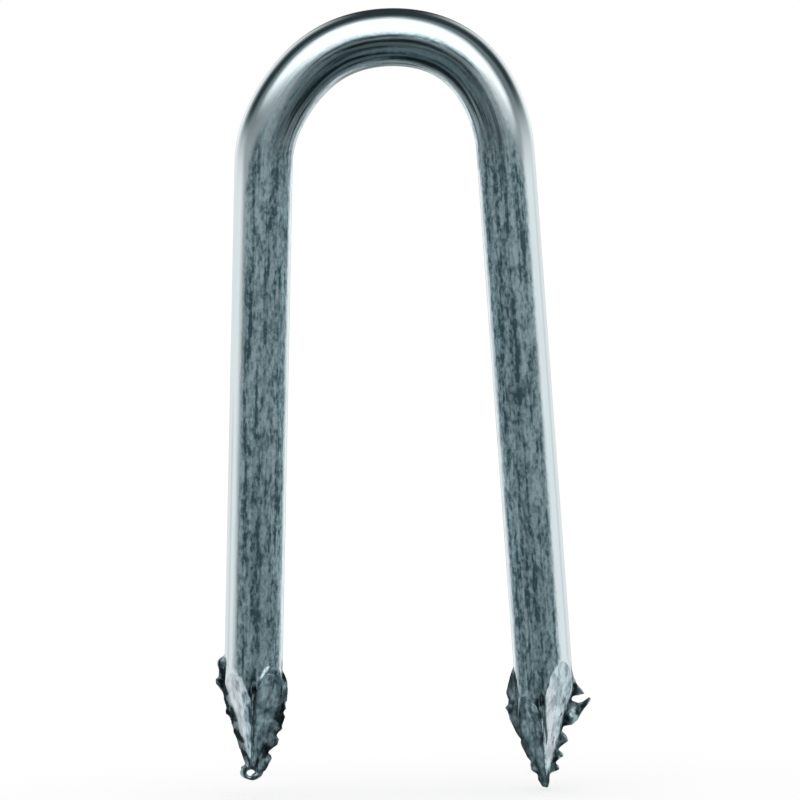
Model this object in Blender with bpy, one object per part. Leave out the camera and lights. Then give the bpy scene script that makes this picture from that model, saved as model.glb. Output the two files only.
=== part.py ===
"""Wire staple: one length of round steel wire bent into a U, with a diamond point cut on each leg.

Metres, +Z up. The crown is on top and the legs lie in the XZ plane, leaning slightly outwards as
they go down. The origin is under the middle of the crown, level with the longer leg's point.
"""

from collections import namedtuple
from math import cos, exp, pi, radians, sin, sqrt, tan

import bmesh
import bpy
from mathutils import Vector

# The wire and the U.
WIRE_DIAMETER = 0.00376
OVERALL_LENGTH = 0.0508  # from the crown's top to the longer leg's point
CROWN_INSIDE_RADIUS = 0.0060
LEG_FLARE = radians(2.65)  # how far each leg leans outwards
LEG_DIFFERENCE = 0.0010  # how much shorter the left leg is

# The bend isn't a true arc: its right shoulder stands out and its left one lies flatter.
RIGHT_SHOULDER_OUT = 0.00040
RIGHT_SHOULDER_AT = radians(35)
LEFT_SHOULDER_IN = 0.00032
LEFT_SHOULDER_AT = radians(-55)
SHOULDER_SPREAD = radians(28)

# The points: four cut faces each, turned so that one ridge faces the front.
POINT_LENGTH = 0.0072  # from the point to where the cut faces run out
TIP_WIDTH = 0.00050  # the flat left at the very point, from ridge to ridge
RIGHT_POINT_SET = 0.00040  # how far the right point is cut off the leg's middle, inwards

# The flash: the thin fin that the pointing dies leave down the two side ridges. Each side is a
# list of (height above the point, how far the edge stands out past the ridge or the wire).
FLASH_THICKNESS = 0.00030
FLASH_ROOT = 0.0006  # how deep the fin's top end is sunk in the wire
LEFT_OUTER_FLASH = (
    (0.0, 0.00060),
    (0.0028, 0.00008),
    (0.0054, 0.00014),
    (0.0067, 0.00075),
    (0.0080, 0.00065),
)
LEFT_INNER_FLASH = (
    (0.0, 0.00045),
    (0.0016, 0.00052),
    (0.0042, 0.00058),
    (0.0055, 0.00060),
    (0.0072, 0.00036),
)
RIGHT_OUTER_FLASH = (
    (0.0, 0.00015),
    (0.0012, 0.00045),
    (0.0042, 0.00070),
    (0.0057, 0.00085),
    (0.0070, 0.00020),
)
RIGHT_INNER_FLASH = (
    (0.0, 0.00020),
    (0.0031, 0.00045),
    (0.0047, 0.00084),
    (0.0062, 0.00092),
    (0.0078, 0.00045),
)

# How finely the round shapes are divided.
WIRE_BEVEL_RESOLUTION = 12  # 28 sides round the wire
CROWN_STEPS = 36

CUT_MARGIN = 0.0010  # how far a cutter runs past what it cuts
WELD = 0.000002  # closes the loose caps of a curve's mesh

WIRE_RADIUS = WIRE_DIAMETER / 2
CROWN_RADIUS = CROWN_INSIDE_RADIUS + WIRE_RADIUS  # to the middle of the wire
CROWN_SWEEP = pi / 2 - LEG_FLARE  # from the top to either leg

Leg = namedtuple("Leg", "name side point_z point_set outer_flash inner_flash")
LEGS = (
    Leg("left", -1, LEG_DIFFERENCE, 0.0, LEFT_OUTER_FLASH, LEFT_INNER_FLASH),
    Leg("right", 1, 0.0, RIGHT_POINT_SET, RIGHT_OUTER_FLASH, RIGHT_INNER_FLASH),
)


def clear_scene():
    for obj in list(bpy.data.objects):
        bpy.data.objects.remove(obj, do_unlink=True)


def new_collection(name):
    collection = bpy.data.collections.new(name)
    bpy.context.scene.collection.children.link(collection)
    return collection


def zinc_coated_steel():
    material = bpy.data.materials.new("zinc_coated_steel")
    material.use_nodes = True
    shader = material.node_tree.nodes["Principled BSDF"]
    shader.inputs["Base Color"].default_value = (0.48, 0.53, 0.55, 1.0)
    shader.inputs["Metallic"].default_value = 1.0
    shader.inputs["Roughness"].default_value = 0.32
    return material


def spline_object(name, points, dimensions, closed, collection):
    curve = bpy.data.curves.new(name, "CURVE")
    curve.dimensions = dimensions
    spline = curve.splines.new("POLY")
    spline.points.add(len(points) - 1)
    for place, point in zip(spline.points, points):
        place.co = (*point, 1.0)
    spline.use_cyclic_u = closed
    obj = bpy.data.objects.new(name, curve)
    collection.objects.link(obj)
    return obj


def as_mesh(curve_object, collection):
    """The curve object's solid as a closed mesh object, in the same place. The curve is removed."""
    bpy.context.view_layer.update()
    graph = bpy.context.evaluated_depsgraph_get()
    mesh = bpy.data.meshes.new_from_object(curve_object.evaluated_get(graph))
    shape = bmesh.new()
    shape.from_mesh(mesh)
    bmesh.ops.remove_doubles(shape, verts=shape.verts, dist=WELD)
    bmesh.ops.recalc_face_normals(shape, faces=shape.faces)
    shape.to_mesh(mesh)
    shape.free()
    name = curve_object.name
    place = curve_object.matrix_world.copy()
    curve = curve_object.data
    bpy.data.objects.remove(curve_object)
    bpy.data.curves.remove(curve)
    solid = bpy.data.objects.new(name, mesh)
    solid.matrix_world = place
    collection.objects.link(solid)
    return solid


def boolean(target, other, operation):
    modifier = target.modifiers.new(f"{operation.lower()}_{other.name}", "BOOLEAN")
    modifier.operation = operation
    modifier.solver = "EXACT"
    modifier.object = other
    other.hide_render = True
    other.display_type = "WIRE"


def crown_offset(angle):
    """From the crown's centre to the middle of the wire, at this angle from the top."""
    right = exp(-(((angle - RIGHT_SHOULDER_AT) / SHOULDER_SPREAD) ** 2))
    left = exp(-(((angle - LEFT_SHOULDER_AT) / SHOULDER_SPREAD) ** 2))
    radius = CROWN_RADIUS + RIGHT_SHOULDER_OUT * right - LEFT_SHOULDER_IN * left
    return Vector((radius * sin(angle), 0.0, radius * cos(angle)))


def crown_angles():
    return [CROWN_SWEEP * (2 * step / CROWN_STEPS - 1) for step in range(CROWN_STEPS + 1)]


def crown_centre():
    rise = max(crown_offset(angle).z for angle in crown_angles())
    return Vector((0.0, 0.0, OVERALL_LENGTH - WIRE_RADIUS - rise))


def leg_point(leg, height):
    """The middle of the leg at this height, past its end too."""
    spring = crown_centre() + crown_offset(leg.side * CROWN_SWEEP)
    outwards = leg.side * (spring.z - height) * tan(LEG_FLARE)
    return Vector((spring.x + outwards, 0.0, height))


def place_at_point(obj, leg, turn_x=0.0):
    """Puts the object's origin at the leg's point, with its up direction along the leg."""
    obj.location = leg_point(leg, leg.point_z)
    obj.location.x -= leg.side * leg.point_set
    obj.rotation_euler = (turn_x, -leg.side * LEG_FLARE, 0.0)


def ridge_spread():
    """How far a ridge moves out from the point's axis for each metre of height."""
    return (WIRE_RADIUS * sqrt(2) - TIP_WIDTH / 2) / POINT_LENGTH


def bent_wire(collection):
    """The U before it is pointed, with a little length to spare at both ends."""
    left, right = LEGS
    centre = crown_centre()
    points = [leg_point(left, left.point_z - CUT_MARGIN / 2)]
    points += [centre + crown_offset(angle) for angle in crown_angles()]
    points += [leg_point(right, right.point_z - CUT_MARGIN / 2)]
    wire = spline_object("staple_wire", points, "3D", False, collection)
    wire.data.bevel_depth = WIRE_RADIUS
    wire.data.bevel_resolution = WIRE_BEVEL_RESOLUTION
    wire.data.use_fill_caps = True
    return as_mesh(wire, collection)


def point_die(leg, cutters):
    """A block with a four-sided socket: what it leaves of the leg is the diamond point."""
    socket_height = POINT_LENGTH + 2 * CUT_MARGIN
    bpy.ops.mesh.primitive_cone_add(
        vertices=4,
        radius1=TIP_WIDTH / 2,
        radius2=TIP_WIDTH / 2 + ridge_spread() * socket_height,
        depth=socket_height,
    )
    socket = bpy.context.object
    socket.name = f"{leg.name}_socket"
    for vertex in socket.data.vertices:
        vertex.co.z += socket_height / 2
    bpy.ops.mesh.primitive_cube_add(size=1.0)
    die = bpy.context.object
    die.name = f"{leg.name}_die"
    width = 2 * (WIRE_DIAMETER + leg.point_set + CUT_MARGIN)
    for vertex in die.data.vertices:
        vertex.co.x *= width
        vertex.co.y *= width
        vertex.co.z = POINT_LENGTH + CUT_MARGIN if vertex.co.z > 0 else -2 * CUT_MARGIN
    for cutter in (socket, die):
        place_at_point(cutter, leg)
        for owner in list(cutter.users_collection):
            owner.objects.unlink(cutter)
        cutters.objects.link(cutter)
    boolean(die, socket, "DIFFERENCE")
    return die


def flash_side(stand_outs, wire_side):
    """One edge of the fin, from the point up, as (distance from the point's axis, height)."""
    edge = []
    for height, stand_out in stand_outs:
        reach = min(TIP_WIDTH / 2 + ridge_spread() * height, wire_side)
        edge.append((reach + stand_out, height))
    top = stand_outs[-1][0]
    edge.append((wire_side - FLASH_ROOT, top + FLASH_ROOT))
    return edge


def flash_fin(leg, cutters):
    """The flat fin in the plane of the U, down both sides of the point."""
    outer = flash_side(leg.outer_flash, WIRE_RADIUS + leg.point_set)
    inner = flash_side(leg.inner_flash, WIRE_RADIUS - leg.point_set)
    outline = [(leg.side * across, up, 0.0) for across, up in outer]
    outline += [(-leg.side * across, up, 0.0) for across, up in reversed(inner)]
    fin = spline_object(f"{leg.name}_flash", outline, "2D", True, cutters)
    fin.data.fill_mode = "BOTH"
    fin.data.extrude = FLASH_THICKNESS / 2
    place_at_point(fin, leg, turn_x=pi / 2)
    return as_mesh(fin, cutters)


def main():
    clear_scene()
    parts = new_collection("wire_staple")
    cutters = new_collection("cutters")
    wire = bent_wire(parts)
    for leg in LEGS:
        boolean(wire, point_die(leg, cutters), "DIFFERENCE")
        boolean(wire, flash_fin(leg, cutters), "UNION")
    wire.data.materials.clear()
    wire.data.materials.append(zinc_coated_steel())
    wire.data.shade_smooth()
    wire.data.set_sharp_from_angle(angle=radians(30))


main()
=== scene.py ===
"""The looks of a wire staple: bright zinc-coated steel wire bent into a U, with pinch-cut points.

The staple is made as the real one is. Each end of a straight blank is cut to a point and keeps its
flash, the blank is divided finely along its length, and then it is bent round the crown.
"""

from collections import namedtuple
from math import atan, cos, exp, pi, radians, sin, sqrt, tan

import bpy
from mathutils import Matrix, Vector, noise


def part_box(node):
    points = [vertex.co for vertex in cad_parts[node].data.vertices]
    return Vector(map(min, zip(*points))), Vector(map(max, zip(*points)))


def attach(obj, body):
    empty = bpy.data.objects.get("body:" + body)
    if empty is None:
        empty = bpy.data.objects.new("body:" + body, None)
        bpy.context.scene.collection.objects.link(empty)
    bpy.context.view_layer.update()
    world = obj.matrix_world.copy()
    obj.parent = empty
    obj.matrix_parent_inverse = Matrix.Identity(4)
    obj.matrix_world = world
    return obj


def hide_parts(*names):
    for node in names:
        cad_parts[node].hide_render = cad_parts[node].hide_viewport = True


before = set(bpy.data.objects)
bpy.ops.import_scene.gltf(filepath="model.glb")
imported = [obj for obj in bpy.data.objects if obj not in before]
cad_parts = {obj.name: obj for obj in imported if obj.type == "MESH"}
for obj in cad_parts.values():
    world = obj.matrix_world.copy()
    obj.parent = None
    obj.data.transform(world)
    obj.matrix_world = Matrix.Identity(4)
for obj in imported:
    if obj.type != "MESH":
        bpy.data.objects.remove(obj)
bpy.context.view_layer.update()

MM = 0.001

# The wire and the U, the same sizes as the frame's.
BOX_LOW, BOX_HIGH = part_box("staple_wire")
WIRE_RADIUS = (BOX_HIGH.y - BOX_LOW.y) / 2
OVERALL_LENGTH = BOX_HIGH.z
CROWN_INSIDE_RADIUS = 6.0 * MM
CROWN_RADIUS = CROWN_INSIDE_RADIUS + WIRE_RADIUS  # to the middle of the wire
LEG_FLARE = radians(2.65)  # how far each leg leans outwards
LEG_DIFFERENCE = 1.0 * MM  # how much shorter the left leg is
RIGHT_SHOULDER_OUT, RIGHT_SHOULDER_AT = 0.40 * MM, radians(35)
LEFT_SHOULDER_IN, LEFT_SHOULDER_AT = 0.32 * MM, radians(-55)
SHOULDER_SPREAD = radians(28)
CROWN_SWEEP = pi / 2 - LEG_FLARE
CROWN_STEPS = 180

# The points.
POINT_LENGTH = 7.3 * MM  # from the point to where the cut faces run out
TIP_HALF_WIDTH = 0.05 * MM
RIGHT_POINT_SET = 0.4 * MM  # how far the right point is cut off the leg's middle, inwards
FLASH_HALF_THICKNESS = 0.14 * MM
FLASH_EDGE_ROUND = 0.08 * MM
FLASH_WELD = 0.002 * MM
FLASH_TOP = 8.2 * MM  # about where the fins run out
PIT_HEIGHT = 5.75 * MM  # where the front and back ridges meet the round wire
SPARE = 3.0 * MM  # blank past each point, so that the bend has somewhere to start
POINT_PIECE = 10.0 * MM  # how much of each leg is made with its point
PLAIN_FROM = POINT_PIECE - 1.6 * MM  # above this a point turns into plain round wire
POINT_VOXEL = 0.075 * MM
JOIN_GAP = 0.15 * MM
WIRE_SIDES = 96
CUT_MARGIN = 1.0 * MM  # how far a point's raw wire runs past what is kept of it
TINY = 0.001 * MM


# ---------------------------------------------------------------- camera

VIEW_HEIGHT = 51.84 * MM  # how much the camera takes in at the staple, each way
VIEW_CENTRE = Vector((0.63 * MM, 0.0, 25.4 * MM))
VIEW_DISTANCE = 0.32
VIEW_ROLL = radians(1.5)
SENSOR = 36.0


def add_camera():
    data = bpy.data.cameras.new("camera")
    data.sensor_width = SENSOR
    data.lens = SENSOR * VIEW_DISTANCE / VIEW_HEIGHT
    data.clip_start = 0.01
    camera = bpy.data.objects.new("camera", data)
    bpy.context.scene.collection.objects.link(camera)
    right = Vector((cos(VIEW_ROLL), 0.0, -sin(VIEW_ROLL)))
    up = Vector((sin(VIEW_ROLL), 0.0, cos(VIEW_ROLL)))
    back = right.cross(up)
    turn = Matrix((right, up, back)).transposed().to_4x4()
    camera.matrix_world = Matrix.Translation(VIEW_CENTRE + back * VIEW_DISTANCE) @ turn
    bpy.context.scene.camera = camera


# ---------------------------------------------------------------- modelling helpers

def deselect_all():
    if bpy.context.object and bpy.context.object.mode != "OBJECT":
        bpy.ops.object.mode_set(mode="OBJECT")
    bpy.ops.object.select_all(action="DESELECT")


def pick(obj, others=()):
    """Makes obj the active object, selected with the others and nothing else."""
    deselect_all()
    for other in (*others, obj):
        other.select_set(True)
    bpy.context.view_layer.objects.active = obj


def apply_modifier(obj, kind, **settings):
    pick(obj)
    modifier = obj.modifiers.new(kind.lower(), kind)
    for name, value in settings.items():
        setattr(modifier, name, value)
    bpy.ops.object.modifier_apply(modifier=modifier.name)


def join(pieces, name):
    pick(pieces[0], pieces[1:])
    bpy.ops.object.join()
    pieces[0].name = name
    return pieces[0]


def bisect(obj, place, normal, fill):
    """Cuts away what lies beyond the plane."""
    pick(obj)
    bpy.ops.object.mode_set(mode="EDIT")
    bpy.ops.mesh.select_all(action="SELECT")
    bpy.ops.mesh.bisect(plane_co=place, plane_no=normal, use_fill=fill, clear_outer=True)
    bpy.ops.object.mode_set(mode="OBJECT")


def face_out(obj, weld=None):
    """Turns every face outwards, after closing the gaps that are narrower than the weld."""
    pick(obj)
    bpy.ops.object.mode_set(mode="EDIT")
    bpy.ops.mesh.select_all(action="SELECT")
    if weld:
        bpy.ops.mesh.remove_doubles(threshold=weld)
    bpy.ops.mesh.normals_make_consistent(inside=False)
    bpy.ops.object.mode_set(mode="OBJECT")


def weight_group(obj, name, weigh):
    group = obj.vertex_groups.new(name=name)
    for vertex in obj.data.vertices:
        group.add([vertex.index], weigh(vertex.co), "REPLACE")
    return name


def smooth_step(low, high, value):
    """Goes smoothly from 0 to 1 as the value goes from low to high."""
    share = min(max((value - low) / (high - low), 0.0), 1.0)
    return share * share * (3 - 2 * share)


def hill(value, middle, width):
    """1 at the middle, falling smoothly to 0 on both sides."""
    return exp(-(((value - middle) / width) ** 2))


# ---------------------------------------------------------------- the bend

def crown_offset(angle):
    """From the crown's centre to the middle of the wire, at this angle from the top."""
    right = hill(angle, RIGHT_SHOULDER_AT, SHOULDER_SPREAD)
    left = hill(angle, LEFT_SHOULDER_AT, SHOULDER_SPREAD)
    radius = CROWN_RADIUS + RIGHT_SHOULDER_OUT * right - LEFT_SHOULDER_IN * left
    return Vector((radius * sin(angle), 0.0, radius * cos(angle)))


def bend_path():
    """The middle of the wire, from SPARE past the left point to SPARE past the right one."""
    angles = [CROWN_SWEEP * (2 * step / CROWN_STEPS - 1) for step in range(CROWN_STEPS + 1)]
    crown = [crown_offset(angle) for angle in angles]
    rise = max(offset.z for offset in crown)
    centre = Vector((0.0, 0.0, OVERALL_LENGTH - WIRE_RADIUS - rise))
    points = [centre + offset for offset in crown]

    def leg_end(spring, side, height):
        down = spring.z - height + SPARE * cos(LEG_FLARE)
        return spring + Vector((side * down * tan(LEG_FLARE), 0.0, -down))

    left_end = leg_end(points[0], -1, LEG_DIFFERENCE)
    right_end = leg_end(points[-1], 1, 0.0)
    return [left_end, *points, right_end]


def path_length(points):
    return sum((after - before).length for before, after in zip(points, points[1:]))


PATH = bend_path()
BLANK_LENGTH = path_length(PATH)


def bend_guide(points):
    data = bpy.data.curves.new("bend_guide", "CURVE")
    data.dimensions = "3D"
    data.twist_mode = "MINIMUM"
    spline = data.splines.new("POLY")
    spline.points.add(len(points) - 1)
    for knot, point in zip(spline.points, points):
        knot.co = (*point, 1.0)
    guide = bpy.data.objects.new("bend_guide", data)
    bpy.context.scene.collection.objects.link(guide)
    return guide


# ---------------------------------------------------------------- the points
#
# A point is made upright with its tip at the origin: +Z up the leg, +Y to the outside of the U and
# -X to the front. The bend then carries those directions to the leg.

RIDGE_SPREAD = (WIRE_RADIUS * sqrt(2) - TIP_HALF_WIDTH) / POINT_LENGTH
FACET_LEAN = atan(RIDGE_SPREAD / sqrt(2))
FACET_OFFSET = TIP_HALF_WIDTH / sqrt(2) * cos(FACET_LEAN)  # from the axis at the tip to a facet

# The ragged edges of the flash, as (distance from the point's axis, height), in mm.
LEFT_OUTER_FLASH = (
    (0.44, 1.08), (0.52, 1.45), (0.66, 1.82), (0.86, 2.12), (1.00, 2.65), (1.22, 3.15), (1.22, 3.55),
    (1.42, 4.00), (1.66, 4.40), (1.52, 4.70), (1.80, 5.20), (2.02, 5.75), (2.44, 6.22), (2.40, 6.52),
    (2.12, 6.78), (2.28, 7.10), (2.34, 7.42), (2.16, 7.80), (1.84, 8.20), (1.20, 8.60),
)
LEFT_INNER_FLASH = (
    (0.40, 0.66), (0.98, 0.84), (1.10, 1.12), (1.32, 1.45), (1.28, 1.66), (1.02, 1.86), (1.30, 2.08),
    (1.66, 2.36), (1.74, 2.72), (1.56, 2.98), (1.68, 3.14), (1.96, 3.42), (1.92, 3.62), (1.98, 3.80),
    (2.16, 4.20), (2.02, 4.50), (2.20, 4.74), (2.08, 4.98), (2.26, 5.22), (2.28, 5.90), (2.20, 6.50),
    (2.00, 6.98), (1.70, 7.40), (1.20, 7.80),
)
RIGHT_OUTER_FLASH = (
    (0.20, 0.10), (0.30, 0.48), (0.34, 0.96), (0.70, 1.04), (1.04, 1.20), (0.98, 1.42), (0.70, 1.62),
    (1.02, 1.84), (1.38, 1.98), (1.26, 2.24), (0.98, 2.46), (1.30, 2.70), (1.70, 3.00), (1.62, 3.34),
    (1.30, 3.62), (1.42, 3.94), (2.02, 4.02), (2.38, 4.24), (2.64, 4.66), (2.98, 5.08), (3.38, 5.58),
    (3.28, 5.72), (2.86, 5.46), (2.46, 5.40), (2.10, 5.58), (2.14, 5.84), (2.56, 5.86), (2.96, 5.92),
    (2.80, 6.24), (2.50, 6.62), (2.40, 7.02), (2.30, 7.50), (1.60, 8.00),
)
RIGHT_INNER_FLASH = (
    (0.22, 0.10), (0.44, 0.62), (0.42, 1.00), (0.80, 1.24), (0.90, 1.62), (0.84, 1.86), (1.06, 2.10),
    (1.22, 2.60), (1.42, 3.06), (1.34, 3.30), (1.56, 3.60), (1.82, 4.14), (2.02, 4.66), (2.10, 5.12),
    (2.26, 5.42), (2.06, 5.60), (1.98, 5.94), (2.12, 6.40), (1.94, 7.00), (1.76, 7.50), (1.46, 8.20),
    (1.00, 8.50),
)

# Lumps of squeezed-out steel on a point, as (distance outwards from the axis, height, how far behind
# the middle, half width, half depth, half height), in mm.
LEFT_LUMPS = (
    (2.00, 7.50, -0.04, 0.34, 0.34, 0.46),
    (1.98, 6.90, 0.05, 0.30, 0.26, 0.50),
    (2.18, 6.42, -0.02, 0.28, 0.22, 0.20),
    (1.62, 4.42, 0.04, 0.16, 0.20, 0.22),
    (0.46, 0.86, -0.08, 0.26, 0.24, 0.14),
    (-0.62, 0.80, 0.06, 0.34, 0.22, 0.22),
    (-0.30, 0.36, -0.10, 0.30, 0.20, 0.16),
)
RIGHT_LUMPS = (
    (2.00, 4.50, -0.08, 0.36, 0.24, 0.40),
    (2.42, 4.86, -0.10, 0.34, 0.17, 0.24),
    (-1.94, 5.36, 0.00, 0.22, 0.22, 0.34),
    (1.50, 3.10, 0.02, 0.18, 0.20, 0.26),
)

# How strongly the die pressed a point's four faces: back outer, front outer, front inner, back inner.
LEFT_PRESS = (0.6, 0.15, 1.0, 0.5)
RIGHT_PRESS = (0.5, 0.10, 0.35, 0.9)

# tip_cut is how much of the tip is cut off, groove_side is 1 where the crease runs on the outer side
# of the front ridge and -1 on the inner side, and the last two are how dark the flash is on each side, from
# dirt and painted shade.
Point = namedtuple("Point", "name set outer inner lumps press tip_cut groove_side outer_dirt inner_dirt")
LEFT_POINT = Point(
    name="left_point",
    set=0.0,
    outer=LEFT_OUTER_FLASH,
    inner=LEFT_INNER_FLASH,
    lumps=LEFT_LUMPS,
    press=LEFT_PRESS,
    tip_cut=0.85 * MM,
    groove_side=-1,
    outer_dirt=0.75,
    inner_dirt=0.88,
)
RIGHT_POINT = Point(
    name="right_point",
    set=RIGHT_POINT_SET,
    outer=RIGHT_OUTER_FLASH,
    inner=RIGHT_INNER_FLASH,
    lumps=RIGHT_LUMPS,
    press=RIGHT_PRESS,
    tip_cut=0.02 * MM,
    groove_side=1,
    outer_dirt=0.84,
    inner_dirt=0.62,
)

# The marks that the die leaves on a point.
RIM_BEVEL = 0.13 * MM
SCOOP_DEPTH = 0.17 * MM
LIP_HEIGHT = 0.10 * MM
GROOVE_DEPTH = 0.18 * MM
PIT_DEPTH = 0.34 * MM
LARGE_DENTS = 0.05 * MM
SMALL_DENTS = 0.028 * MM
ROUND_WIRE_DENTS = 0.25  # how much of the dents is left on the round wire
DENT_SEED = 1  # without one, the dents differ from run to run
FLASH_WAVES = 0.30 * MM


def flash_fin(shape):
    """The thin fin in the plane of the U, squeezed out between the two halves of the die."""
    outline = [(across, up) for across, up in shape.outer]
    outline += [(-across, up) for across, up in reversed(shape.inner)]
    data = bpy.data.curves.new("flash", "CURVE")
    data.dimensions = "2D"
    data.fill_mode = "BOTH"
    data.extrude = FLASH_HALF_THICKNESS - FLASH_EDGE_ROUND
    data.bevel_depth = FLASH_EDGE_ROUND
    data.bevel_resolution = 1
    data.offset = -FLASH_EDGE_ROUND
    spline = data.splines.new("POLY")
    spline.points.add(len(outline) - 1)
    for knot, (across, up) in zip(spline.points, outline):
        knot.co = (across * MM, up * MM, 0.0, 1.0)
    spline.use_cyclic_u = True
    fin = bpy.data.objects.new("flash", data)
    bpy.context.scene.collection.objects.link(fin)
    # The outline's X turns to the outside of the U and its Y up the leg.
    fin.matrix_world = Matrix(((0, 0, 1, 0), (1, 0, 0, -shape.set), (0, 1, 0, 0), (0, 0, 0, 1)))
    pick(fin)
    bpy.ops.object.convert(target="MESH")
    bpy.ops.object.transform_apply(location=True, rotation=True, scale=True)
    face_out(fin, FLASH_WELD)
    return fin


def lumps(shape):
    """The lumps of a point, as separate closed pieces."""
    made = []
    for across, up, behind, half_width, half_depth, half_height in shape.lumps:
        bpy.ops.mesh.primitive_ico_sphere_add(
            subdivisions=3,
            radius=MM,
            location=(behind * MM, across * MM - shape.set, up * MM),
            scale=(half_depth, half_width, half_height),
        )
        made.append(bpy.context.object)
    return made


def tip_curl():
    """The flash at the left tip is folded over into a small flat ring."""
    bpy.ops.mesh.primitive_torus_add(
        major_segments=40,
        minor_segments=12,
        major_radius=0.54 * MM,
        minor_radius=0.23 * MM,
        location=(0.0, 0.0, 0.50 * MM),
        rotation=(0.0, radians(90), 0.0),
    )
    ring = bpy.context.object
    ring.scale = (0.60, 1.0, 0.9)  # flatter from top to bottom
    return ring


def pointed_end(shape):
    """The end of the wire with its four cut faces."""
    height = POINT_PIECE + CUT_MARGIN
    bpy.ops.mesh.primitive_cylinder_add(
        vertices=WIRE_SIDES, radius=WIRE_RADIUS, depth=height, location=(0, 0, height / 2)
    )
    end = bpy.context.object
    pick(end)
    bpy.ops.object.transform_apply(location=True)
    axis = Vector((0.0, -shape.set, 0.0))
    for normal in facet_normals():
        bisect(end, axis + normal * FACET_OFFSET, normal, True)
    bisect(end, (0, 0, shape.tip_cut), (0, 0, -1), True)
    apply_modifier(
        end, "BEVEL", width=RIM_BEVEL, segments=3, limit_method="ANGLE", angle_limit=radians(45)
    )
    return end


def facet_normals():
    """The directions of the four cut faces: back outer, front outer, front inner and back inner."""
    upright = Vector((cos(FACET_LEAN), 0.0, -sin(FACET_LEAN)))
    return [Matrix.Rotation(radians(45 + 90 * quarter), 3, "Z") @ upright for quarter in range(4)]


def scoop(place, from_axis, normal):
    """How a cut face is pressed hollow, deepest in its middle and with a steep rounded top."""
    if abs(normal.dot(from_axis) - FACET_OFFSET) > 0.10 * MM:
        return Vector()
    apothem = (TIP_HALF_WIDTH + RIDGE_SPREAD * place.z) / sqrt(2)
    sideways = abs(normal.cross(Vector((0, 0, 1))).normalized().dot(from_axis))
    to_ridge = apothem - sideways
    to_rim = (WIRE_RADIUS - place.xy.length) / 0.32
    depth = SCOOP_DEPTH * smooth_step(0.0, 0.5 * MM, min(to_ridge, to_rim))
    return normal * -depth * smooth_step(0.5 * MM, 3.5 * MM, place.z)


def lip(place, from_axis, normal):
    """How the steel beside a cut face stands up in a burr round the face's top."""
    radius = place.xy.length
    if radius < 0.95 * WIRE_RADIUS or radius > 1.04 * WIRE_RADIUS:
        return Vector()
    outwards = Vector((place.x, place.y, 0.0)) / radius
    below_cut = FACET_OFFSET - normal.dot(from_axis)
    steepness = sqrt(max(1.0 - normal.dot(outwards) ** 2, 0.04))
    away = below_cut / steepness
    height = LIP_HEIGHT * hill(away, 0.10 * MM, 0.14 * MM)
    return outwards * height * smooth_step(4.6 * MM, 6.0 * MM, place.z)


def front_groove(place, from_axis, shape):
    """The crease beside the front and back ridges, and the pit where each ridge meets the wire."""
    beside = from_axis.y * shape.groove_side
    groove = GROOVE_DEPTH * hill(beside, 0.20 * MM, 0.10 * MM) * hill(place.z, 4.3 * MM, 1.3 * MM)
    pit = PIT_DEPTH * hill(beside, 0.12 * MM, 0.15 * MM) * hill(place.z, PIT_HEIGHT, 0.62 * MM)
    return Vector((-1 if place.x > 0 else 1, 0, 0)) * (groove + pit)


def crumple(place, from_axis):
    """Small dents all over the cut faces, and waves in the flash where it stands out."""
    dents = noise.noise_vector(place * 1.3 / MM) * LARGE_DENTS
    dents += noise.noise_vector(place * 3.1 / MM) * SMALL_DENTS
    if abs(place.xy.length - WIRE_RADIUS) < 0.03 * MM and abs(place.x) > 0.3 * MM:
        dents *= ROUND_WIRE_DENTS
    reach = min(TIP_HALF_WIDTH + RIDGE_SPREAD * place.z, WIRE_RADIUS)
    stand_out = smooth_step(0.0, 0.6 * MM, abs(from_axis.y) - reach)
    wave = noise.noise(place * 1.1 / MM + Vector((7.0, 3.0, 0.0))) * FLASH_WAVES * stand_out
    return (dents + Vector((wave, 0, 0))) * (1 - smooth_step(7.4 * MM, PLAIN_FROM, place.z))


def sculpt(point, shape):
    """Moves every vertex of a point as the die pressed it. The fin only gets dents and waves."""
    pressed = list(zip(facet_normals(), shape.press))
    for vertex in point.data.vertices:
        place = vertex.co.copy()
        from_axis = place + Vector((0.0, shape.set, 0.0))
        move = crumple(place, from_axis)
        off_fin = smooth_step(FLASH_HALF_THICKNESS, 0.42 * MM, abs(place.x))
        move += off_fin * front_groove(place, from_axis, shape)
        for normal, press in pressed:
            face_move = scoop(place, from_axis, normal) + lip(place, from_axis, normal)
            move += off_fin * press * face_move
        vertex.co = place + move


def make_point(shape):
    """One point with its flash and lumps, upright, with plain round wire at its top."""
    pieces = [pointed_end(shape), flash_fin(shape), *lumps(shape)]
    if shape is LEFT_POINT:
        pieces.append(tip_curl())
    point = join(pieces, shape.name)
    apply_modifier(point, "REMESH", mode="VOXEL", voxel_size=POINT_VOXEL)
    apply_modifier(point, "SMOOTH", factor=0.5, iterations=3)
    sculpt(point, shape)
    apply_modifier(point, "SMOOTH", factor=0.5, iterations=1)
    round_part = weight_group(
        point, "round_part", lambda co: smooth_step(PLAIN_FROM, PLAIN_FROM + 1.0 * MM, co.z)
    )
    apply_modifier(
        point,
        "CAST",
        cast_type="CYLINDER",
        factor=1.0,
        use_radius_as_size=False,
        size=WIRE_RADIUS,
        vertex_group=round_part,
    )
    bisect(point, (0, 0, POINT_PIECE), (0, 0, 1), False)
    return point


# ---------------------------------------------------------------- the blank

def select_lengthwise_edges(tube):
    bpy.ops.object.mode_set(mode="EDIT")
    bpy.ops.mesh.select_mode(type="EDGE")
    bpy.ops.mesh.select_all(action="DESELECT")
    bpy.ops.object.mode_set(mode="OBJECT")
    for edge in tube.data.edges:
        low, high = [tube.data.vertices[index].co for index in edge.vertices]
        edge.select = abs(high.z - low.z) > TINY


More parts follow.
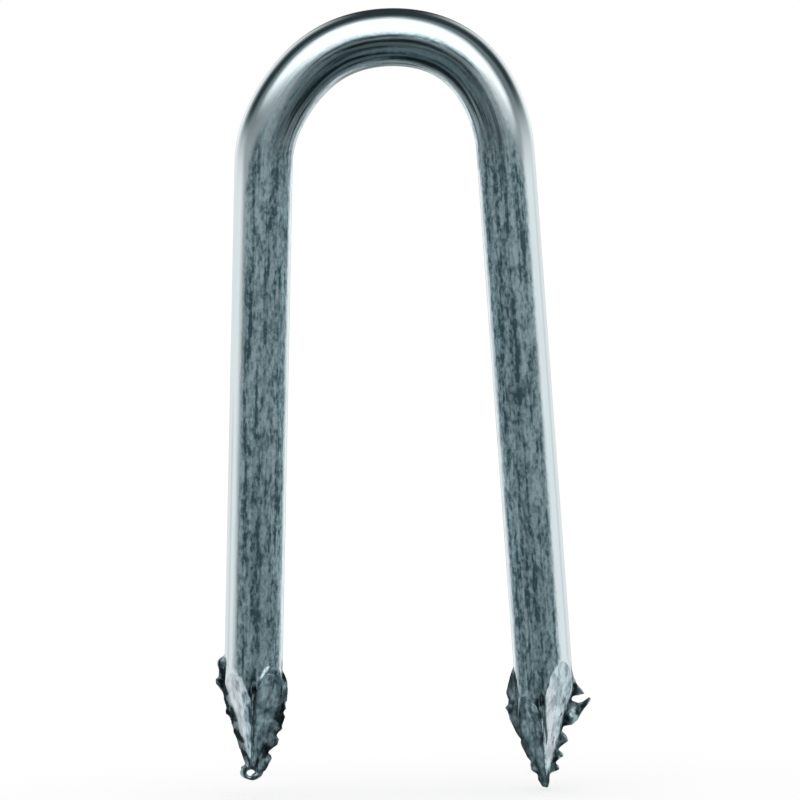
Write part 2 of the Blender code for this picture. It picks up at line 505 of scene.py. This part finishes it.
def wire_tube(low, high):
    """The round wire between the two point pieces, open at both ends."""
    bpy.ops.mesh.primitive_cylinder_add(
        vertices=WIRE_SIDES,
        radius=WIRE_RADIUS,
        depth=high - low,
        end_fill_type="NOTHING",
        location=(0, 0, (low + high) / 2),
    )
    tube = bpy.context.object
    pick(tube)
    bpy.ops.object.transform_apply(location=True)
    for _ in range(2):
        select_lengthwise_edges(tube)
        bpy.ops.object.mode_set(mode="EDIT")
        bpy.ops.mesh.subdivide(number_cuts=15)
        bpy.ops.object.mode_set(mode="OBJECT")
    return tube


def select_open_rims(blank, joint):
    """Selects the two open rims on either side of the joint."""
    bpy.ops.object.mode_set(mode="EDIT")
    bpy.ops.mesh.select_mode(type="VERT")
    bpy.ops.mesh.select_all(action="DESELECT")
    bpy.ops.mesh.select_non_manifold(
        extend=False,
        use_wire=False,
        use_boundary=True,
        use_multi_face=False,
        use_non_contiguous=False,
        use_verts=False,
    )
    bpy.ops.object.mode_set(mode="OBJECT")
    for vertex in blank.data.vertices:
        if abs(vertex.co.z - joint) > 2 * JOIN_GAP:
            vertex.select = False
    for edge in blank.data.edges:
        edge.select = all(blank.data.vertices[index].select for index in edge.vertices)
    for face in blank.data.polygons:
        face.select = False


def bridge_open_rims(blank):
    """Joins the tube to the point pieces across the narrow gaps left for it."""
    pick(blank)
    for joint in (SPARE + POINT_PIECE, BLANK_LENGTH - SPARE - POINT_PIECE):
        select_open_rims(blank, joint)
        bpy.ops.object.mode_set(mode="EDIT")
        bpy.ops.mesh.select_mode(type="EDGE")
        bpy.ops.mesh.bridge_edge_loops()
        bpy.ops.object.mode_set(mode="OBJECT")


# ---------------------------------------------------------------- materials

class Tree:
    """A node tree, with a short way to write each kind of node that the finishes use."""

    def __init__(self, tree):
        self.tree = tree

    def put(self, value, socket):
        if isinstance(value, bpy.types.NodeSocket):
            self.tree.links.new(value, socket)
        else:
            socket.default_value = value

    def node(self, kind, inputs=None, **settings):
        node = self.tree.nodes.new(kind)
        for name, value in settings.items():
            setattr(node, name, value)
        for name, value in (inputs or {}).items():
            self.put(value, node.inputs[name])
        return node

    def math(self, operation, first, second=0.0, clamp=False):
        node = self.node("ShaderNodeMath", operation=operation, use_clamp=clamp)
        self.put(first, node.inputs[0])
        self.put(second, node.inputs[1])
        return node.outputs[0]

    def product(self, *factors):
        result = factors[0]
        for factor in factors[1:]:
            result = self.math("MULTIPLY", result, factor)
        return result

    def sum(self, *terms):
        result = terms[0]
        for term in terms[1:]:
            result = self.math("ADD", result, term)
        return result

    def inverse(self, value):
        return self.math("SUBTRACT", 1.0, value)

    def vector_math(self, operation, first, second, output="Vector"):
        node = self.node("ShaderNodeVectorMath", operation=operation)
        self.put(first, node.inputs[0])
        self.put(second, node.inputs[1])
        return node.outputs[output]

    def parts(self, vector):
        return self.node("ShaderNodeSeparateXYZ", {"Vector": vector}).outputs

    def vector(self, x, y, z):
        return self.node("ShaderNodeCombineXYZ", {"X": x, "Y": y, "Z": z}).outputs[0]

    def ramp(self, value, low, high, bottom=0.0, top=1.0):
        """Goes smoothly from bottom to top as the value goes from low to high."""
        node = self.node("ShaderNodeMapRange", interpolation_type="SMOOTHSTEP")
        for socket, number in zip(node.inputs, (value, low, high, bottom, top)):
            self.put(number, socket)
        return node.outputs[0]

    def mix(self, share, first, second, blend="MIX"):
        node = self.node("ShaderNodeMix", data_type="RGBA", blend_type=blend)
        for name, value in (("Factor_Float", share), ("A_Color", first), ("B_Color", second)):
            self.put(value, next(socket for socket in node.inputs if socket.identifier == name))
        return next(socket for socket in node.outputs if socket.identifier == "Result_Color")

    def noise(self, vector, detail, roughness, distortion=0.0):
        inputs = {
            "Vector": vector,
            "Scale": 1.0,
            "Detail": detail,
            "Roughness": roughness,
            "Distortion": distortion,
        }
        return self.node("ShaderNodeTexNoise", inputs).outputs["Fac"]

    def attribute(self, name, output="Fac"):
        return self.node("ShaderNodeAttribute", attribute_name=name).outputs[output]

    def group(self, group, inputs):
        return self.node("ShaderNodeGroup", inputs, node_tree=group).outputs


def new_group(name, inputs, outputs):
    """An empty shader group, a writer for its tree, and its input sockets."""
    group = bpy.data.node_groups.new(name, "ShaderNodeTree")
    for socket_name, kind, value in inputs:
        socket = group.interface.new_socket(socket_name, in_out="INPUT", socket_type=kind)
        if value is not None:
            socket.default_value = value
    for output in outputs:
        socket_name, kind = (output, "NodeSocketFloat") if isinstance(output, str) else output
        group.interface.new_socket(socket_name, in_out="OUTPUT", socket_type=kind)
    tree = Tree(group)
    return group, tree, tree.node("NodeGroupInput").outputs


def patchy_zinc():
    """Small light and dark patches in the zinc, longer along the wire than across it."""
    group, tree, given = new_group(
        "patchy_zinc",
        (
            ("Place", "NodeSocketVector", None),
            ("Patches per mm", "NodeSocketFloat", 2.0),
            ("Stretch", "NodeSocketFloat", 3.0),
            ("Softness", "NodeSocketFloat", 0.2),
        ),
        ("Dark", "Height"),
    )
    across = given["Patches per mm"]
    along = tree.math("DIVIDE", across, given["Stretch"])
    place = tree.vector_math("MULTIPLY", given["Place"], tree.vector(across, across, along))
    patches = tree.noise(place, 2.0, 0.5, 0.1)
    low = tree.math("SUBTRACT", 0.5, tree.math("MULTIPLY", given["Softness"], 0.5))
    high = tree.math("ADD", low, given["Softness"])
    dark = tree.ramp(patches, low, high)
    tree.node("NodeGroupOutput", {"Dark": dark, "Height": patches})
    return group


def drawing_lines():
    """Lines left along the wire by the drawing die: long, thin, broken and uneven."""
    group, tree, given = new_group(
        "drawing_lines",
        (
            ("Place", "NodeSocketVector", None),
            ("Lines per mm", "NodeSocketFloat", 3.0),
            ("Length", "NodeSocketFloat", 12.0),
            ("Share", "NodeSocketFloat", 0.4),
        ),
        ("Line", "Height"),
    )
    across = given["Lines per mm"]
    along = tree.math("DIVIDE", 1.0, given["Length"])
    place = tree.vector_math("MULTIPLY", given["Place"], tree.vector(across, across, along))
    lines = tree.noise(place, 2.0, 0.5)
    start = tree.math("SUBTRACT", 0.86, given["Share"])
    line = tree.ramp(lines, start, tree.math("ADD", start, 0.10))
    tree.node("NodeGroupOutput", {"Line": line, "Height": lines})
    return group


def edge_grime_and_shade():
    """Dark dirt with painted shade, on the ragged steel and in the creases, over whatever colour the metal
    has.
    """
    group, tree, given = new_group(
        "edge_grime_and_shade",
        (
            ("Colour", "NodeSocketColor", None),
            ("Torn and shaded", "NodeSocketFloat", 0.0),
            ("Patch", "NodeSocketFloat", 0.5),
            ("Least", "NodeSocketFloat", 0.5),
        ),
        ("Grime and shade", ("Colour", "NodeSocketColor")),
    )
    amount = tree.sum(given["Least"], tree.product(given["Patch"], 0.65))
    grime_and_shade = tree.math("MULTIPLY", given["Torn and shaded"], amount, clamp=True)
    colour = tree.mix(grime_and_shade, given["Colour"], GRIME_AND_SHADE)
    tree.node("NodeGroupOutput", {"Grime and shade": grime_and_shade, "Colour": colour})
    return group


def die_mark():
    """One long mark down the whole wire, at one place round it, where the die had a nick."""
    group, tree, given = new_group(
        "die_mark",
        (
            ("Place", "NodeSocketVector", None),
            ("Towards", "NodeSocketVector", None),
            ("Half width", "NodeSocketFloat", 0.15),
        ),
        ("Mark",),
    )
    wander = tree.noise(tree.vector_math("MULTIPLY", given["Place"], (0.4, 0.4, 0.16)), 2.0, 0.5)
    broken = tree.vector_math("MULTIPLY", given["Place"], (1.9, 1.9, 0.55))
    breaks = tree.noise(tree.vector_math("ADD", broken, given["Towards"]), 3.0, 0.6)
    direction = tree.vector_math("NORMALIZE", given["Towards"], (0, 0, 0))
    flat = tree.vector_math("MULTIPLY", given["Place"], (1.0, 1.0, 0.0))
    sideways = tree.vector_math("CROSS_PRODUCT", direction, flat)
    distance = tree.parts(sideways)["Z"]
    distance = tree.math("ADD", distance, tree.math("MULTIPLY", tree.math("SUBTRACT", wander, 0.5), 0.5))
    near = tree.ramp(tree.math("ABSOLUTE", distance), 0.0, given["Half width"], 1.0, 0.0)
    facing = tree.ramp(tree.vector_math("DOT_PRODUCT", direction, flat, "Value"), 0.0, 0.4)
    mark = tree.product(near, facing, tree.ramp(breaks, 0.38, 0.66))
    tree.node("NodeGroupOutput", {"Mark": mark})
    return group


def place_in_mm(tree):
    """The place on the straight blank, so that the finish follows the wire round the bend."""
    return tree.vector_math("MULTIPLY", tree.attribute("wire_place", "Vector"), (1 / MM, 1 / MM, 1 / MM))


def new_metal(name):
    material = bpy.data.materials.new(name)
    material.use_nodes = True
    shader = material.node_tree.nodes["Principled BSDF"]
    shader.inputs["Metallic"].default_value = 1.0
    return material, Tree(material.node_tree), shader


# BRIGHT_ZINC is the colour of the painted highlight on the outside of the U, and of the bright scores in
# the crown.
BRIGHT_ZINC = (0.90, 0.965, 0.975, 1.0)
CLEAR_ZINC = (0.72, 0.90, 0.96, 1.0)
DULL_ZINC = (0.10, 0.185, 0.215, 1.0)
# The next colour is that of sheared steel where the die slid; on the outer cut faces it is also a painted
# highlight.
SLID_ZINC_AND_SHEEN = (0.86, 0.90, 0.925, 1.0)
WORKED_ZINC = (0.86, 0.90, 0.91, 1.0)  # what the bending leaves of the colour inside the crown
# The next colour is dark dirt, and also the painted shade along the flash and in the ridge creases; it also
# darkens streaks in the crown.
GRIME_AND_SHADE = (0.020, 0.034, 0.038, 1.0)
WHITE = (1.0, 1.0, 1.0, 1.0)
BLACK = (0.0, 0.0, 0.0, 1.0)

CROWN_HIGHLIGHT_SHIFT = 0.47  # how much further inwards the painted highlight reaches on the crown, in wire radii

# Long marks on the front, as (where they face, half width in mm, how much duller the zinc is there).
LIGHT_MARK = ((-1.0, 0.10, 0.0), 0.24, -0.35)
DARK_MARK = ((-1.0, -0.16, 0.0), 0.32, 0.48)
THIN_MARK = ((-1.0, 0.34, 0.0), 0.20, 0.48)


def in_crown(tree, along, crown):
    """0 on the legs and 1 in the crown."""
    low, high = (end / MM for end in crown)
    entering = tree.ramp(along, low - 2.5, low + 4.0)
    leaving = tree.ramp(along, high - 4.0, high + 2.5, 1.0, 0.0)
    return tree.product(entering, leaving)


def painted_highlight(tree, outwards):
    """The painted highlight: bright zinc colour on the outside of the U, and in a narrow strip on its
    inside.
    """
    outside = tree.ramp(outwards, 0.46, 0.70)
    inside = tree.product(tree.ramp(outwards, -0.97, -0.84, 1.0, 0.0), 0.8)
    return tree.math("MAXIMUM", outside, inside)


def dullness(tree, groups, place, patches, lines, bend):
    """How dull the zinc is, from its patches and grains and from what the drawing die left on it."""
    grains = tree.group(
        groups["patches"], {"Place": place, "Patches per mm": 5.2, "Stretch": 1.8, "Softness": 0.28}
    )
    dull = tree.sum(tree.product(patches["Dark"], 0.54), tree.product(grains["Dark"], 0.50), -0.14)
    for towards, half_width, duller in (LIGHT_MARK, DARK_MARK, THIN_MARK):
        mark = tree.group(groups["mark"], {"Place": place, "Towards": towards, "Half width": half_width})
        dull = tree.math("ADD", dull, tree.product(mark["Mark"], duller), clamp=True)
    dull = tree.math("ADD", dull, tree.product(lines["Line"], 0.36), clamp=True)
    return tree.product(dull, tree.ramp(bend, 0.0, 1.0, 1.0, 0.65))


def worn_colour(tree, groups, place, dull, bend, outwards):
    """The zinc outside the painted highlight: patchy, and worked dark, streaked and scored in the crown."""
    streaks = tree.group(
        groups["patches"], {"Place": place, "Patches per mm": 2.1, "Stretch": 18.0, "Softness": 0.20}
    )
    scores = tree.group(
        groups["lines"], {"Place": place, "Lines per mm": 3.4, "Length": 9.0, "Share": 0.40}
    )
    worn = tree.mix(dull, CLEAR_ZINC, DULL_ZINC)
    worked = tree.mix(tree.product(bend, 0.85), WHITE, WORKED_ZINC)
    worn = tree.mix(1.0, worn, worked, "MULTIPLY")
    streaked = tree.product(bend, tree.ramp(outwards, 0.40, 0.58, 1.0, 0.0))
    worn = tree.mix(tree.product(streaked, streaks["Dark"], 0.90), worn, GRIME_AND_SHADE)
    return tree.mix(tree.product(bend, scores["Line"], 0.50), worn, BRIGHT_ZINC)


def finish_surface(tree, shader, colour, rough, height):
    """Gives the metal its colour, roughness and fine relief."""
    bump = tree.node("ShaderNodeBump", {"Strength": 0.5, "Distance": 0.10 * MM, "Height": height})
    tree.put(colour, shader.inputs["Base Color"])
    tree.put(rough, shader.inputs["Roughness"])
    tree.put(bump.outputs["Normal"], shader.inputs["Normal"])


def drawn_zinc(groups, crown):
    """The round wire: patchy zinc, with a painted highlight on the outside of the U, and worked dark in the
    crown.
    """
    material, tree, shader = new_metal("drawn_zinc")
    place = place_in_mm(tree)
    parts = tree.parts(place)
    bend = in_crown(tree, parts["Z"], crown)
    outwards = tree.math("DIVIDE", parts["Y"], WIRE_RADIUS / MM)
    outwards = tree.sum(outwards, tree.product(bend, CROWN_HIGHLIGHT_SHIFT))
    highlight = painted_highlight(tree, outwards)
    patches = tree.group(
        groups["patches"], {"Place": place, "Patches per mm": 2.6, "Stretch": 3.4, "Softness": 0.26}
    )
    lines = tree.group(groups["lines"], {"Place": place, "Lines per mm": 3.0, "Length": 9.0, "Share": 0.37})
    dull = dullness(tree, groups, place, patches, lines, bend)

    worn = worn_colour(tree, groups, place, dull, bend, outwards)
    bright = tree.mix(tree.product(lines["Line"], 0.22), BRIGHT_ZINC, CLEAR_ZINC)
    # painted highlight: bright zinc colour where the outside of the U and a strip on its inside catch the
    # light
    colour = tree.mix(highlight, worn, bright)
    torn_and_shaded = tree.attribute("torn_edge_and_shade")
    grime_and_shade = tree.group(
        groups["grime_and_shade"], {"Colour": colour, "Torn and shaded": torn_and_shaded, "Patch": patches["Dark"], "Least": 0.6}
    )

    outside_highlight = tree.inverse(highlight)
    rough = tree.sum(0.13, tree.product(outside_highlight, tree.sum(0.05, tree.product(dull, 0.13))))
    height = tree.sum(tree.product(patches["Height"], 0.5), tree.product(lines["Height"], 0.5))
    height = tree.product(height, tree.sum(0.25, tree.product(outside_highlight, 0.75)))
    finish_surface(tree, shader, grime_and_shade["Colour"], rough, height)
    return material


def sheared_zinc(groups):
    """The cut faces and the flash: sheared bright where the die slid, with a painted highlight on the outer
    faces, and dark at the edges from dirt and painted shade.
    """
    material, tree, shader = new_metal("sheared_zinc")
    place = place_in_mm(tree)
    torn_and_shaded = tree.attribute("torn_edge_and_shade")
    clean_and_highlight = tree.attribute("clean_cut_and_highlight")
    patches = tree.group(
        groups["patches"], {"Place": place, "Patches per mm": 1.9, "Stretch": 1.6, "Softness": 0.22}
    )
    slides = tree.group(
        groups["lines"], {"Place": place, "Lines per mm": 4.0, "Length": 3.0, "Share": 0.38}
    )
    dull = tree.sum(tree.product(patches["Dark"], 0.55), tree.product(slides["Line"], 0.35))
    dull = tree.product(dull, tree.ramp(clean_and_highlight, 0.0, 1.0, 1.0, 0.45))
    # painted highlight: the outer cut faces get the brighter colour of slid steel
    colour = tree.mix(dull, tree.mix(clean_and_highlight, CLEAR_ZINC, SLID_ZINC_AND_SHEEN), DULL_ZINC)
    grime_and_shade = tree.group(
        groups["grime_and_shade"], {"Colour": colour, "Torn and shaded": torn_and_shaded, "Patch": patches["Dark"], "Least": 0.5}
    )
    rough = tree.sum(0.20, tree.product(dull, 0.12), tree.product(grime_and_shade["Grime and shade"], 0.12))
    height = tree.sum(tree.product(patches["Height"], 0.5), tree.product(slides["Height"], 0.5))
    finish_surface(tree, shader, grime_and_shade["Colour"], rough, height)
    return material


# ---------------------------------------------------------------- studio

def empty_material(name):
    """An empty material, a writer for its tree and the socket that its surface goes to."""
    material = bpy.data.materials.new(name)
    material.use_nodes = True
    nodes = material.node_tree.nodes
    nodes.remove(nodes["Principled BSDF"])
    return material, Tree(material.node_tree), nodes["Material Output"].inputs["Surface"]


def mix_surfaces(tree, share, first, second, surface):
    """Shows the first shader where the share is 0 and the second where it is 1."""
    mixed = tree.node("ShaderNodeMixShader", {"Fac": share})
    tree.put(first, mixed.inputs[1])
    tree.put(second, mixed.inputs[2])
    tree.put(mixed.outputs[0], surface)


FLOOR_RADIUS = 0.6
FLOOR_DROP = 0.05 * MM  # how far the table top is below the staple
PAPER = (0.97, 0.97, 0.97, 1.0)


def add_floor():
    """A pale table top, which goes over into the white of the background away from the staple."""
    bpy.ops.mesh.primitive_circle_add(
        vertices=128, radius=FLOOR_RADIUS, fill_type="NGON", location=(0, 0, BOX_LOW.z - FLOOR_DROP)
    )
    floor = bpy.context.object
    floor.name = "floor"
    floor.visible_glossy = False
    material, tree, surface = empty_material("pale_floor")
    paper = tree.node("ShaderNodeBsdfDiffuse", {"Color": PAPER}).outputs[0]
    white = tree.node("ShaderNodeEmission", {"Color": WHITE, "Strength": 1.0}).outputs[0]
    place = tree.node("ShaderNodeTexCoord").outputs["Object"]
    distance = tree.vector_math("LENGTH", place, (0, 0, 0), "Value")
    mix_surfaces(tree, tree.ramp(distance, 6 * MM, 45 * MM, 0.45, 1.0), paper, white, surface)
    floor.data.materials.append(material)


# What the metal mirrors of the studio.
BELOW = (0.105, 0.140, 0.150, 1.0)
EYE_LEVEL = (0.315, 0.342, 0.350, 1.0)
CEILING = (0.018, 0.030, 0.034, 1.0)
WALLS = (1.0, 1.02, 1.03, 1.0)


def mirrored_studio(tree):
    """What the metal mirrors, by direction: a large light above the camera, a dark ceiling behind the
    staple with bright walls below it to the left and right, grey at eye level and darker below. Its
    left and right ends aren't alike."""
    parts = tree.parts(tree.node("ShaderNodeTexCoord").outputs["Generated"])
    back = parts["Y"]
    up = parts["Z"]
    front = tree.math("MULTIPLY", back, -1.0)
    sideways = tree.math("ABSOLUTE", parts["X"])
    to_right = tree.math("MAXIMUM", parts["X"], 0.0)
    to_left = tree.math("MINIMUM", parts["X"], 0.0)

    back_end = tree.sum(front, tree.product(to_right, -0.45), tree.product(to_left, 0.15))
    front_end = tree.sum(up, tree.product(to_left, 0.30))
    above = tree.product(tree.ramp(back_end, 0.03, 0.40), tree.ramp(front_end, 0.12, 0.42))
    ceiling = tree.product(tree.ramp(back, -0.12, 0.12), tree.ramp(up, 0.25, 0.50))
    eye_level = tree.product(tree.ramp(up, -0.30, 0.10), tree.ramp(up, 0.12, 0.50, 1.0, 0.15))
    walls = tree.product(tree.ramp(back, 0.36, 0.98), tree.ramp(sideways, 0.10, 0.40))
    table = tree.product(tree.ramp(back, 0.15, 0.75), tree.ramp(up, -0.20, 0.0, 1.0, 0.0))
    below_middle = tree.product(tree.ramp(up, -0.62, -0.35), tree.ramp(up, -0.2, 0.0, 1.0, 0.0))
    sides = tree.product(tree.ramp(sideways, 0.70, 0.92), below_middle)

    light = tree.mix(eye_level, BELOW, EYE_LEVEL)
    for place, strength in ((above, 1.05), (table, 0.32), (sides, 0.20)):
        light = tree.mix(1.0, light, tree.mix(tree.product(place, strength), BLACK, WHITE), "ADD")
    return tree.mix(walls, tree.mix(ceiling, light, CEILING), WALLS)


def add_world():
    """White to look at and to light the floor, and a softer studio for the metal to mirror."""
    world = bpy.data.worlds.new("studio")
    bpy.context.scene.world = world
    world.use_nodes = True
    tree = Tree(world.node_tree)
    mirrored = tree.node("ShaderNodeLightPath").outputs["Is Glossy Ray"]
    light = tree.mix(mirrored, WHITE, mirrored_studio(tree))
    tree.put(light, world.node_tree.nodes["Background"].inputs["Color"])


# The white cards beside the legs, which only the metal mirrors.
CARD_LOW, CARD_HIGH = -9 * MM, 48 * MM
CARD_FRONT, CARD_BACK = -3.6 * MM, 7.0 * MM
CARD_OUT = 12.0 * MM  # from the middle of the U to a card's top
CARD_LIGHT = (0.95, 0.985, 1.0, 1.0)
CARD_STRENGTH = 0.80
CARD_STRIPE = 0.42  # how much of the light the grey stripe takes away


def card_glow(tree, front_fade, stripe_top):
    """Where a card gives light. It fades at its ends and its front edge, and far from what mirrors it,
    and it has a grey stripe up to stripe_top."""
    parts = tree.parts(tree.node("ShaderNodeTexCoord").outputs["Object"])
    stripe = tree.product(
        tree.ramp(parts["Y"], 0.1 * MM, 0.8 * MM),
        tree.ramp(parts["Y"], 1.2 * MM, 2.2 * MM, 1.0, 0.0),
        tree.ramp(parts["Z"], stripe_top - 6 * MM, stripe_top, 1.0, 0.0),
    )
    ray_length = tree.node("ShaderNodeLightPath").outputs["Ray Length"]
    return tree.product(
        tree.inverse(tree.product(stripe, CARD_STRIPE)),
        tree.ramp(parts["Y"], front_fade, front_fade + 1.9 * MM),
        tree.ramp(parts["Z"], CARD_LOW, CARD_LOW + 5 * MM),
        tree.ramp(parts["Z"], 39 * MM, 46 * MM, 1.0, 0.0),
        tree.ramp(ray_length, 8 * MM, 11 * MM, 1.0, 0.0),
    )


def add_side_card(name, side, front_fade, stripe_top):
    """A white card close beside a leg, leaning with it."""
    bpy.ops.mesh.primitive_plane_add(size=1.0)
    card = bpy.context.object
    card.name = name
    for vertex in card.data.vertices:
        height = CARD_HIGH if vertex.co.y > 0 else CARD_LOW
        out = CARD_OUT + (CARD_HIGH - height) * tan(LEG_FLARE)
        vertex.co = (side * out, CARD_FRONT if vertex.co.x < 0 else CARD_BACK, height)
    card.visible_camera = False
    card.visible_diffuse = False
    card.visible_shadow = False
    material, tree, surface = empty_material(name)
    clear = tree.node("ShaderNodeBsdfTransparent").outputs[0]
    white = tree.node("ShaderNodeEmission", {"Color": CARD_LIGHT, "Strength": CARD_STRENGTH}).outputs[0]
    mix_surfaces(tree, card_glow(tree, front_fade, stripe_top), clear, white, surface)
    card.data.materials.append(material)


# ---------------------------------------------------------------- where each finish is

LEAST_DIRT_AND_SHADE = 0.12 * MM  # how far the dirt and painted shade reach beside the flash, high on a point
NARROW_DIRT_AND_SHADE = 0.20 * MM  # how much further they reach low on a point
WIDE_DIRT_AND_SHADE = 0.50 * MM  # the same on the left point's outer side


def ridge_shade(beside, height):
    """The painted shade in the crease beside a front or back ridge, and in the pit at its top: how dark
    they are.
    """
    crease = 0.75 * hill(beside, 0.10 * MM, 0.13 * MM)
    crease *= smooth_step(2.2 * MM, 3.2 * MM, height) * (1 - smooth_step(5.6 * MM, 6.2 * MM, height))
    return max(crease, hill(beside, 0.10 * MM, 0.22 * MM) * hill(height, PIT_HEIGHT, 0.8 * MM))


def flash_dirt_and_shade(across, stand_out, height, shape):
    """How dark the flash and the steel close beside it are, from dirt and from painted shade along its
    edges.
    """
    widest = across > 0 and shape is LEFT_POINT
    strength = shape.outer_dirt if across > 0 else shape.inner_dirt
    if widest:
        strength *= 1 + smooth_step(0.8 * MM, 1.6 * MM, height)
    low_down = 1 - smooth_step(5.0 * MM, 6.4 * MM, height)
    width = LEAST_DIRT_AND_SHADE + (WIDE_DIRT_AND_SHADE if widest else NARROW_DIRT_AND_SHADE) * low_down
    torn_and_shaded = smooth_step(-width, 0.04 * MM - 0.5 * width, stand_out)
    below_top = 1 - smooth_step(FLASH_TOP - 0.7 * MM, FLASH_TOP, height)
    torn_and_shaded *= max(below_top, smooth_step(0.05 * MM, 0.20 * MM, stand_out))
    return torn_and_shaded * smooth_step(-1.8 * MM, 1.4 * MM, height) * strength


def slid_clean_and_highlight(across, reach, shape):
    """How bright the sliding die left a cut face, partly as a painted highlight: only the outer faces get
    it.
    """
    if across <= 0:
        return 0.0
    if shape is LEFT_POINT:
        return smooth_step(0.22, 0.42, across / reach)
    beside_ridge = 0.5 + 0.5 * hill(across, 0.50 * MM, 0.40 * MM)
    return beside_ridge * smooth_step(0.10 * MM, 0.25 * MM, across)


def finish_of_point(place, height, shape):
    """How dark a place on a point is, from dirt and painted shade, how bright, partly from a painted
    highlight, and whether it is off the round wire.
    """
    across = place.y + shape.set
    side = WIRE_RADIUS + (shape.set if across > 0 else -shape.set)
    reach = min(TIP_HALF_WIDTH + RIDGE_SPREAD * height, side)
    stand_out = abs(across) - reach
    # the ridge creases and their pits are painted dark as shade, in the same mask as the dirt
    torn_and_shaded = max(flash_dirt_and_shade(across, stand_out, height, shape), ridge_shade(abs(across), height))
    clean_and_highlight = slid_clean_and_highlight(across, reach, shape) * (1 - min(torn_and_shaded, 1.0))
    on_flash = abs(place.x) < 2 * FLASH_HALF_THICKNESS and stand_out > 0.02 * MM and height < FLASH_TOP
    off_round = abs(place.xy.length - WIRE_RADIUS) > 0.07 * MM
    return torn_and_shaded, clean_and_highlight, on_flash or off_round


def mark_finishes(blank):
    """Notes each place on the straight blank, and on its points where dirt and painted shade darken them
    and where sheared steel and a painted highlight brighten them.
    """
    torn_and_shaded = blank.data.attributes.new("torn_edge_and_shade", "FLOAT", "POINT")
    clean_and_highlight = blank.data.attributes.new("clean_cut_and_highlight", "FLOAT", "POINT")
    cut = [False] * len(blank.data.vertices)
    for vertex in blank.data.vertices:
        left = vertex.co.z < BLANK_LENGTH / 2
        height = (vertex.co.z if left else BLANK_LENGTH - vertex.co.z) - SPARE
        if height > PLAIN_FROM:
            continue
        finish = finish_of_point(vertex.co, height, LEFT_POINT if left else RIGHT_POINT)
        torn_and_shaded.data[vertex.index].value, clean_and_highlight.data[vertex.index].value, cut[vertex.index] = finish
    for face in blank.data.polygons:
        face.material_index = 1 if any(cut[index] for index in face.vertices) else 0
    place = blank.data.attributes.new("wire_place", "FLOAT_VECTOR", "POINT")
    place.data.foreach_set("vector", [part for vertex in blank.data.vertices for part in vertex.co])


# ---------------------------------------------------------------- the whole

def make_blank():
    """The straight blank: round wire with a point at each end."""
    left = make_point(LEFT_POINT)
    right = make_point(RIGHT_POINT)
    upside_down = Matrix.Scale(-1, 4, (0, 0, 1))
    left.data.transform(Matrix.Translation((0, 0, SPARE)))
    right.data.transform(Matrix.Translation((0, 0, BLANK_LENGTH - SPARE)) @ upside_down)
    right.data.flip_normals()
    low = SPARE + POINT_PIECE + JOIN_GAP
    tube = wire_tube(low, BLANK_LENGTH - low)
    blank = join([tube, left, right], "bent_wire")
    bridge_open_rims(blank)
    face_out(blank)
    return blank


def make_staple():
    """The blank with its two finishes, bent round the crown."""
    blank = make_blank()
    groups = {
        "patches": patchy_zinc(),
        "lines": drawing_lines(),
        "mark": die_mark(),
        "grime_and_shade": edge_grime_and_shade(),
    }
    crown = ((PATH[1] - PATH[0]).length, BLANK_LENGTH - (PATH[-1] - PATH[-2]).length)
    blank.data.materials.clear()
    blank.data.materials.append(drawn_zinc(groups, crown))
    blank.data.materials.append(sheared_zinc(groups))
    mark_finishes(blank)
    guide = bend_guide(PATH)
    apply_modifier(blank, "CURVE", object=guide, deform_axis="POS_Z")
    bpy.data.objects.remove(guide)
    bpy.ops.object.shade_smooth()
    return blank


add_camera()
noise.seed_set(DENT_SEED)
staple = make_staple()
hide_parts("staple_wire")
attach(staple, "root")
add_floor()
add_world()
add_side_card("left_card", -1, -2.5 * MM, 28 * MM)
add_side_card("right_card", 1, -3.45 * MM, 44 * MM)
bpy.context.scene.view_settings.view_transform = "Standard"
